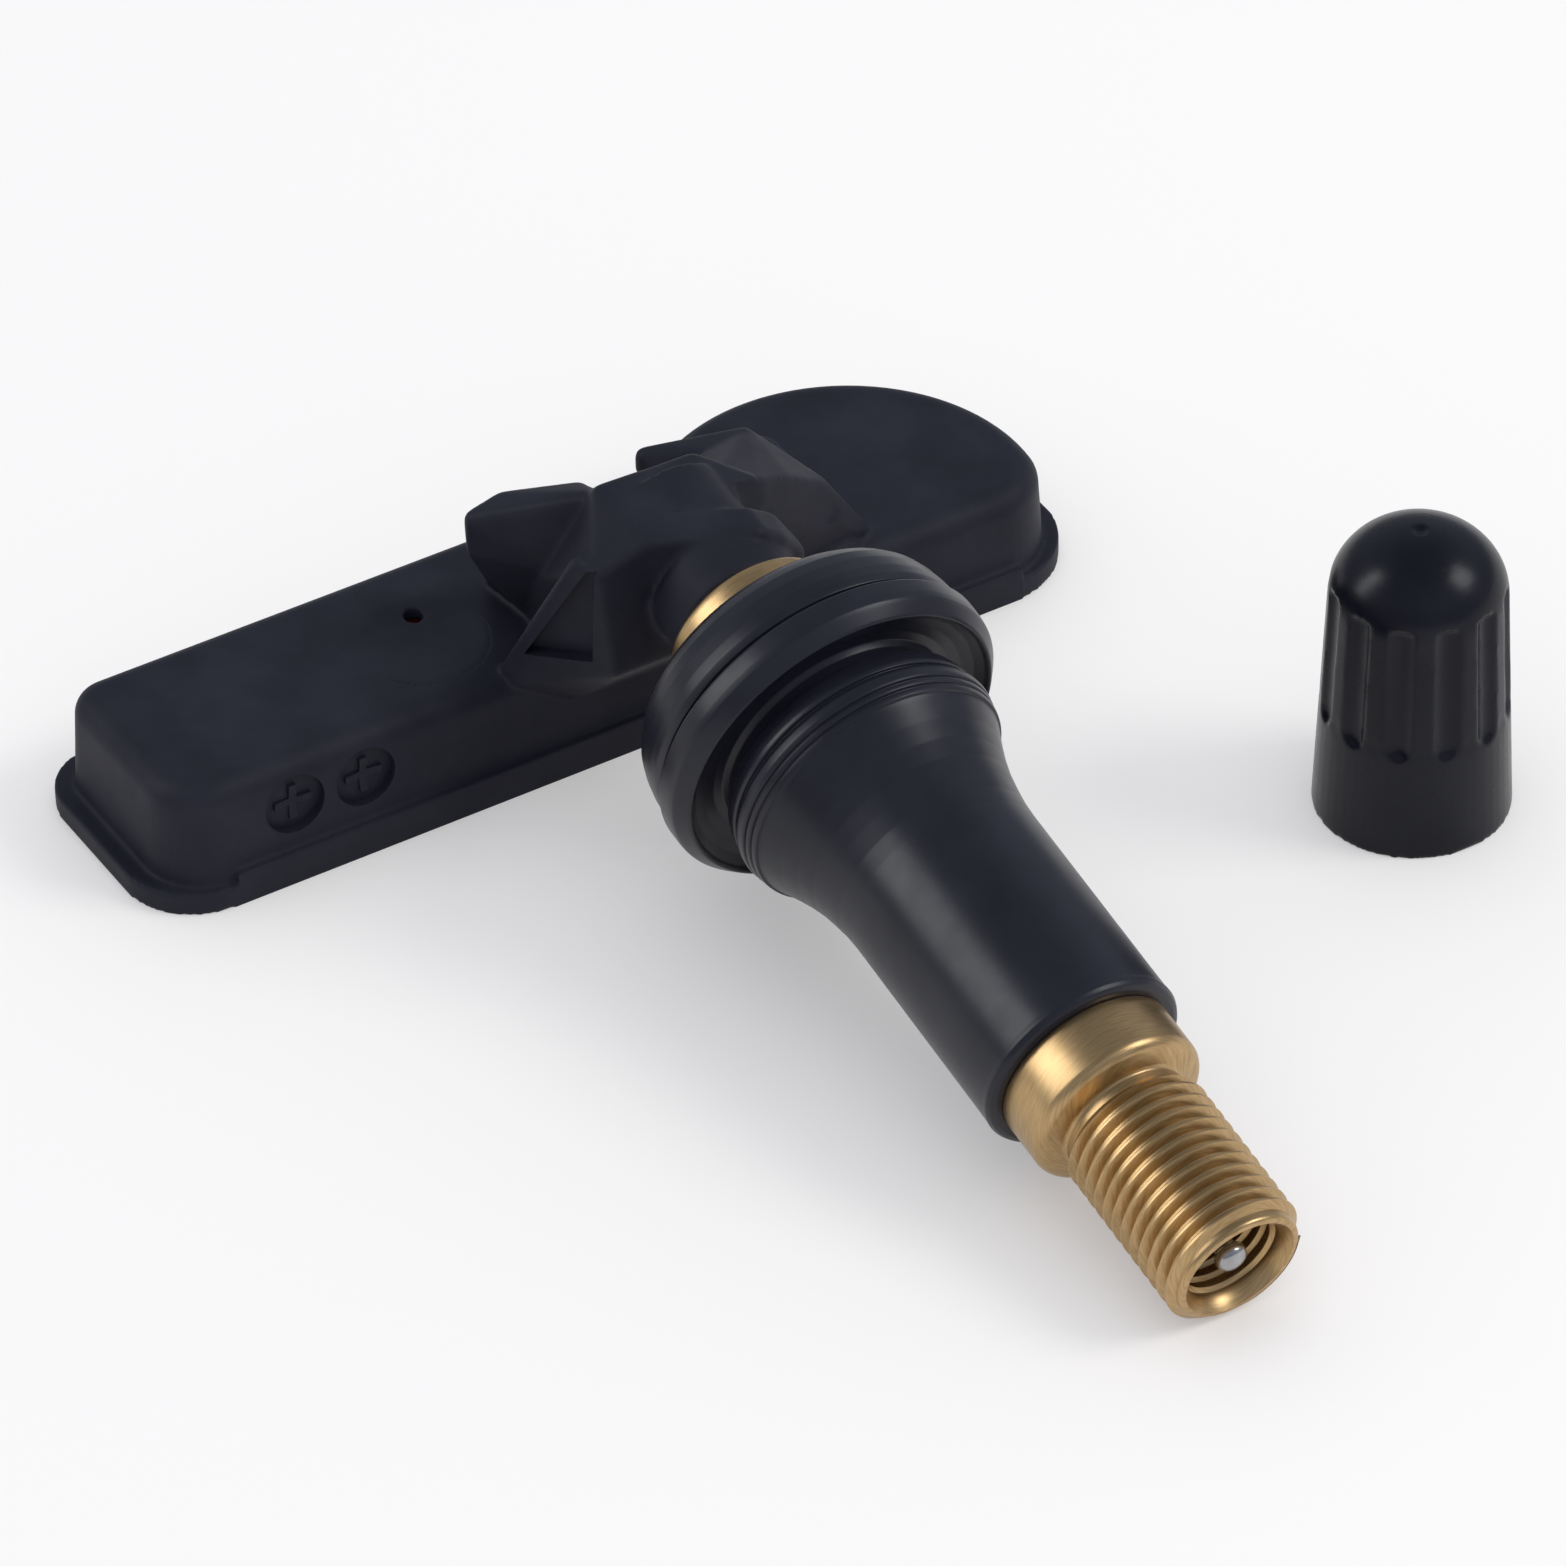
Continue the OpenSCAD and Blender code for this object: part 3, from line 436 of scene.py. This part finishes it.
def cut_thread():
    """One helical ridge that runs out at the tip's chamfer and at the neck."""
    bpy.ops.object.select_all(action="DESELECT")
    bpy.ops.mesh.primitive_plane_add(size=1, location=(THREAD_ROOT + RIDGE_MIDDLE, 0, THREAD_START),
                                     rotation=(math.radians(90), 0, 0))
    ridge = bpy.context.object
    ridge.name = "stem_thread"
    ridge.scale = (THREAD_CREST - THREAD_ROOT + RIDGE_SINK, THREAD_PITCH * RIDGE_FOOT_SHARE, 1)
    ridge.location.x = (THREAD_CREST + THREAD_ROOT - RIDGE_SINK) / 2
    bpy.ops.object.transform_apply(location=True, rotation=True, scale=True)
    bpy.ops.object.mode_set(mode="EDIT")
    bpy.ops.mesh.select_all(action="DESELECT")
    bpy.ops.object.mode_set(mode="OBJECT")
    for vertex in ridge.data.vertices:
        vertex.select = vertex.co.x > THREAD_ROOT + RIDGE_MIDDLE
    for edge in ridge.data.edges:
        edge.select = all(ridge.data.vertices[i].select for i in edge.vertices)
    bpy.ops.object.mode_set(mode="EDIT")
    bpy.ops.transform.resize(value=(1, 1, RIDGE_CREST_SHARE), center_override=(THREAD_CREST, 0, THREAD_START))
    bpy.ops.mesh.select_all(action="SELECT")
    bpy.ops.mesh.delete(type="ONLY_FACE")
    bpy.ops.object.mode_set(mode="OBJECT")
    apply_modifier(ridge, "SCREW", angle=math.tau * THREAD_TURNS, screw_offset=THREAD_PITCH * THREAD_TURNS,
                   steps=THREAD_STEPS * THREAD_TURNS, render_steps=THREAD_STEPS * THREAD_TURNS,
                   use_merge_vertices=False)
    bpy.ops.object.mode_set(mode="EDIT")
    bpy.ops.mesh.select_all(action="SELECT")
    bpy.ops.mesh.remove_doubles(threshold=MERGE)
    bpy.ops.mesh.fill_holes(sides=4)
    bpy.ops.mesh.normals_make_consistent(inside=False)
    bpy.ops.object.mode_set(mode="OBJECT")
    cut(ridge, lathe("thread_blank", thread_room, BLANK_STEPS), "INTERSECT")
    return ridge


thread = cut_thread()
place_on_stem(thread)
settle(thread, "sensor", brass, METAL_CREASE)
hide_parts("valve_stem")


# The rubber boot with its bulb, neck and stepped flange

BOOT_ROUND = 0.07
boot_outside = [(14.0, 4.3), (13.98, 5.1), (14.1, 5.36), (14.35, 5.5), (14.7, 5.46), (16.0, 5.45),
                (27.0, 5.45), (28.0, 5.5), (29.0, 5.64), (30.0, 5.82), (31.0, 6.1), (32.0, 6.47),
                (33.0, 6.9), (33.26, 7.02), (33.28, 7.14), (33.56, 7.22), (33.6, 7.1), (33.72, 7.1),
                (33.76, 7.24), (34.0, 7.3), (34.04, 7.18), (34.14, 7.18), (34.18, 7.33), (34.4, 7.38),
                (34.8, 7.34), (35.05, 7.22), (35.1, 7.04), (35.2, 7.04), (35.24, 7.18), (35.5, 7.18),
                (35.9, 7.1), (36.3, 6.95), (36.55, 6.75), (36.68, 6.5), (36.72, 6.2), (37.4, 6.2),
                (37.7, 6.42), (37.82, 6.9), (37.74, 7.5), (37.5, 8.1), (37.15, 8.52), (36.95, 8.62),
                (36.85, 8.72), (36.95, 8.84), (37.5, 9.26), (37.66, 9.36), (38.0, 9.4), (38.85, 9.4),
                (38.95, 9.32), (38.98, 8.9), (39.24, 8.88), (39.27, 9.05), (39.7, 9.12), (40.3, 9.08),
                (41.1, 8.93), (41.8, 8.7), (42.4, 8.3), (42.9, 7.76), (43.25, 7.08), (43.45, 6.2),
                (43.5, 5.2), (43.45, 4.62), (43.3, 4.3)]
boot = lathe("rubber_boot", rounded(boot_outside, BOOT_ROUND) + [boot_outside[0]], STEM_STEPS)
place_on_stem(boot)
settle(boot, "sensor", boot_black, RUBBER_CREASE)
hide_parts("valve_rubber")


# The pin of the valve core, with its domed head

PIN_STEPS = 48
pin_profile = [(0.35, 0.02), (0.35, 0.3), (0.4, 0.55), (0.55, 0.76), (0.75, 0.84), (1.0, 0.84), (1.2, 0.7),
               (1.25, 0.55), (8.5, 0.55), (8.5, 1.05), (9.0, 1.05), (9.0, 0.55), (18.35, 0.55), (18.35, 0.02)]
pin = lathe("core_pin_turned", pin_profile, PIN_STEPS)
place_on_stem(pin)
settle(pin, "core_plunger", steel, METAL_CREASE)
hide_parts("core_pin")


# The spring of the valve core, as a copy of the CAD spring with a mesh of its own

spring = merged_copy("core_spring", "core_spring_coil")
settle(spring, "sensor", steel, MOULDED_CREASE)
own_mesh(spring)
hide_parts("core_spring")


# The valve cap: one moulding with soft flutes

CAP_VOXEL = 0.13
CAP_SMOOTHS = 5
CAP_FACES = 80000
cap = merged_copy("valve_cap", "cap_moulding")
apply_modifier(cap, "REMESH", mode="VOXEL", voxel_size=CAP_VOXEL)
apply_modifier(cap, "SMOOTH", factor=SMOOTH_FACTOR, iterations=CAP_SMOOTHS)
thinned(cap, CAP_FACES)
settle(cap, "sensor", cap_black, MOULDED_CREASE)
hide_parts("valve_cap")


# Floor

FLOOR_SIZE = 6
FLOOR_COLOUR = (0.96, 0.91, 0.845, 1)
FLOOR_ROUGHNESS = 0.6
FLOOR_SPECULAR = 0.2
GLOW_COLOUR = (0.965, 0.955, 0.965, 1)
GLOW_SHARE = 0.3


def floor_material():
    """A pale floor, in part its own plain colour to the eye, so that shadows stay soft."""
    material, nodes, links, shader = new_material("pale_floor")
    shader.inputs["Base Color"].default_value = FLOOR_COLOUR
    shader.inputs["Roughness"].default_value = FLOOR_ROUGHNESS
    shader.inputs["Specular IOR Level"].default_value = FLOOR_SPECULAR
    glow = nodes.new("ShaderNodeEmission")
    glow.inputs["Color"].default_value = GLOW_COLOUR
    path = nodes.new("ShaderNodeLightPath")
    seen = nodes.new("ShaderNodeMath")
    seen.operation = "MAXIMUM"
    links.new(path.outputs["Is Camera Ray"], seen.inputs[0])
    links.new(path.outputs["Is Glossy Ray"], seen.inputs[1])
    share = nodes.new("ShaderNodeMath")
    share.operation = "MULTIPLY"
    share.inputs[1].default_value = GLOW_SHARE
    links.new(seen.outputs["Value"], share.inputs[0])
    blend = nodes.new("ShaderNodeMixShader")
    links.new(share.outputs["Value"], blend.inputs["Fac"])
    links.new(shader.outputs["BSDF"], blend.inputs[1])
    links.new(glow.outputs["Emission"], blend.inputs[2])
    links.new(blend.outputs["Shader"], nodes["Material Output"].inputs["Surface"])
    return material


bpy.ops.object.select_all(action="DESELECT")
bpy.ops.mesh.primitive_plane_add(size=FLOOR_SIZE, location=(0, 0, 0))
floor = bpy.context.object
floor.name = "floor"
floor.data.materials.append(floor_material())


# Sky: each ramp runs from the horizon to overhead, as (height, colour) stops

SKY_STRENGTH = 1.26
SKY_PLAIN = (0.78, 0.79, 0.8, 1)
SKY_LIGHT = ((0.0, (0.27, 0.288, 0.322, 1)), (0.5, (0.555, 0.59, 0.655, 1)), (1.0, (0.84, 0.89, 0.985, 1)))
SKY_SHINE = ((0.0, (0.17, 0.19, 0.23, 1)), (0.5, (0.37, 0.39, 0.46, 1)), (0.95, (0.17, 0.19, 0.23, 1)))
MIX_FACTOR = 0
MIX_FIRST = 6
MIX_SECOND = 7
MIX_RESULT = 2


def sky_ramp(nodes, links, stops):
    place = nodes.new("ShaderNodeTexCoord")
    parts = nodes.new("ShaderNodeSeparateXYZ")
    ramp = nodes.new("ShaderNodeValToRGB")
    links.new(place.outputs["Generated"], parts.inputs["Vector"])
    links.new(parts.outputs["Z"], ramp.inputs["Fac"])
    (low, low_colour), (middle, middle_colour), (high, high_colour) = stops
    ramp.color_ramp.elements[0].position = low
    ramp.color_ramp.elements[0].color = low_colour
    ramp.color_ramp.elements[1].position = high
    ramp.color_ramp.elements[1].color = high_colour
    ramp.color_ramp.elements.new(middle).color = middle_colour
    return ramp.outputs["Color"]


def sky_choice(nodes, links, ray, otherwise):
    """A mix that takes its second colour for one kind of ray."""
    choice = nodes.new("ShaderNodeMix")
    choice.data_type = "RGBA"
    links.new(ray, choice.inputs[MIX_FACTOR])
    links.new(otherwise, choice.inputs[MIX_FIRST])
    return choice


def light_sky(nodes, links):
    """A sky brighter overhead, a dark room in what shines, and a plain background."""
    path = nodes.new("ShaderNodeLightPath")
    lit = sky_choice(nodes, links, path.outputs["Is Glossy Ray"], sky_ramp(nodes, links, SKY_LIGHT))
    links.new(sky_ramp(nodes, links, SKY_SHINE), lit.inputs[MIX_SECOND])
    seen = sky_choice(nodes, links, path.outputs["Is Camera Ray"], lit.outputs[MIX_RESULT])
    seen.inputs[MIX_SECOND].default_value = SKY_PLAIN
    links.new(seen.outputs[MIX_RESULT], nodes["Background"].inputs["Color"])
    nodes["Background"].inputs["Strength"].default_value = SKY_STRENGTH


world = bpy.data.worlds.new("studio")
bpy.context.scene.world = world
world.use_nodes = True
light_sky(world.node_tree.nodes, world.node_tree.links)


# Lamps: a soft box at each side, in metres and watts

RIGHT_BOX_PLACE = (0.71, -0.548, 0.796)
RIGHT_BOX_SIDE = 0.46
RIGHT_BOX_POWER = 4.3
LEFT_BOX_PLACE = (-0.887, 0.502, 0.636)
LEFT_BOX_WIDTH = 0.26
LEFT_BOX_HEIGHT = 0.76
LEFT_BOX_POWER = 4.2


def soft_box(name, place, width, height, power):
    """A lamp that faces the origin."""
    data = bpy.data.lights.new(name, "AREA")
    data.shape = "RECTANGLE"
    data.size = width
    data.size_y = height
    data.energy = power
    light = bpy.data.objects.new(name, data)
    bpy.context.scene.collection.objects.link(light)
    light.location = place
    x, y, z = place
    light.rotation_euler = (math.atan2(math.hypot(x, y), z), 0, math.atan2(y, x) + math.pi / 2)
    return light


soft_box("right_box", RIGHT_BOX_PLACE, RIGHT_BOX_SIDE, RIGHT_BOX_SIDE, RIGHT_BOX_POWER)
left_box = soft_box("left_box", LEFT_BOX_PLACE, LEFT_BOX_WIDTH, LEFT_BOX_HEIGHT, LEFT_BOX_POWER)
left_box.visible_diffuse = False


# Camera, fitted to the photograph

CAMERA_PLACE = (-0.202006, -0.356243, 0.323364)
CAMERA_TURN = (51.0153, 0.7638, -31.5109)
CAMERA_LENS = 230.0
CAMERA_SENSOR = 36
CAMERA_NEAR = 0.01
CAMERA_FAR = 20
camera_data = bpy.data.cameras.new("camera")
camera_data.sensor_width = CAMERA_SENSOR
camera_data.lens = CAMERA_LENS
camera_data.clip_start = CAMERA_NEAR
camera_data.clip_end = CAMERA_FAR
camera = bpy.data.objects.new("camera", camera_data)
bpy.context.scene.collection.objects.link(camera)
camera.location = CAMERA_PLACE
camera.rotation_euler = [math.radians(turn) for turn in CAMERA_TURN]
bpy.context.scene.camera = camera
bpy.context.scene.view_settings.view_transform = "Standard"
